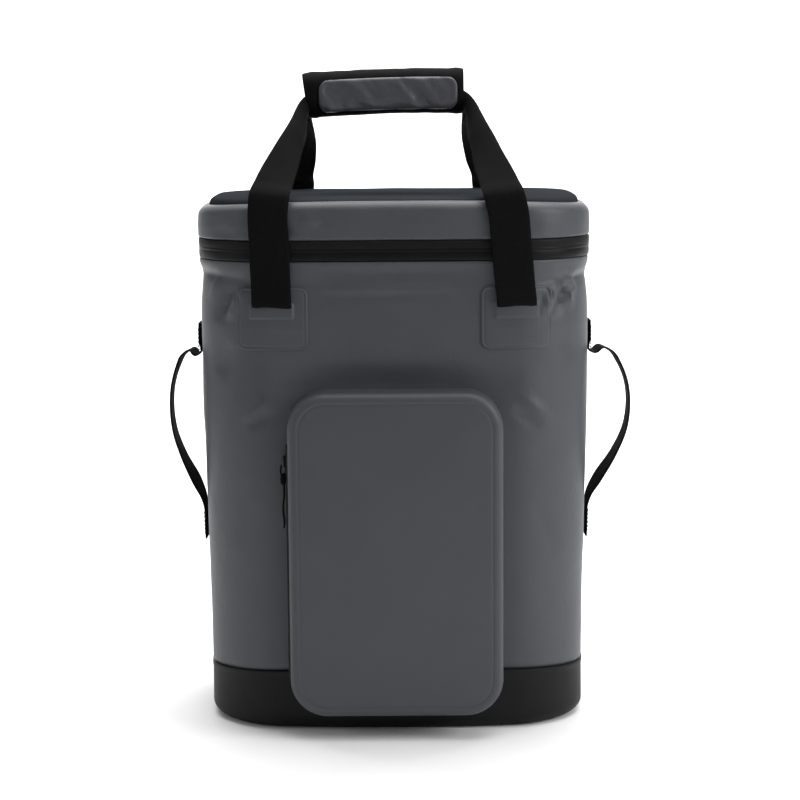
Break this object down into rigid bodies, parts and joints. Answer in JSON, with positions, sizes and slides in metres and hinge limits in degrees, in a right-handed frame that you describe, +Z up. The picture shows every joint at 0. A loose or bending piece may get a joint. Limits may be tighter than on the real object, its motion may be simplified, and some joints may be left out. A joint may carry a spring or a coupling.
{
  "type": "cooler backpack",
  "caption": "Upright soft cooler worn as a backpack: grey bag in a black boot, zipped lid, front pocket, webbing carry handle with padded grip, side handles and shoulder straps.",
  "frame": {"origin": "middle of the base's resting face, on the ground", "axes": "+Z up, the front with its pocket faces -Y, +X is to the right as seen from the front"},
  "size_m": [0.3824, 0.2964, 0.535],
  "materials": {
    "grey_cloth": "coated cloth, satin",
    "dark_panel": "coated cloth, satin",
    "grey_pad": "coated cloth, soft gloss",
    "boot": "moulded, satin",
    "zip": "coated zip tape, satin",
    "webbing": "woven webbing, matt",
    "wrap": "foam-backed cloth, matt",
    "mesh": "padded mesh, matt",
    "moulded": "moulded, matt"
  },
  "bodies": {
    "root": {"body_shell": "grey_cloth", "base_boot": "boot", "lid_shell": "grey_cloth", "lid_top_panel": "dark_panel", "lid_hinge": "grey_cloth", "zip_tape_lower": "zip", "zip_tape_upper": "zip", "zip_chain": "zip", "lid_zip_slider": "moulded", "lid_zip_pull": "moulded", "pocket_shell": "grey_cloth", "pocket_zip_tape": "zip", "pocket_zip_slider": "moulded", "pocket_zip_pull": "moulded", "strap_patch_front_left": "grey_cloth", "strap_patch_front_right": "grey_cloth", "strap_patch_rear_left": "grey_cloth", "strap_patch_rear_right": "grey_cloth", "handle_strap_front": "webbing", "handle_strap_rear": "webbing", "handle_wrap": "wrap", "handle_pad_front": "grey_pad", "handle_pad_rear": "grey_pad", "side_handle_left": "webbing", "side_handle_right": "webbing", "back_panel": "mesh", "shoulder_yoke": "webbing", "shoulder_pad_left": "mesh", "shoulder_pad_right": "mesh", "strap_buckle_left": "moulded", "strap_buckle_right": "moulded", "strap_anchor_left": "webbing", "strap_anchor_right": "webbing", "lower_strap_left": "webbing", "lower_strap_right": "webbing"}
  },
  "joints": []
}
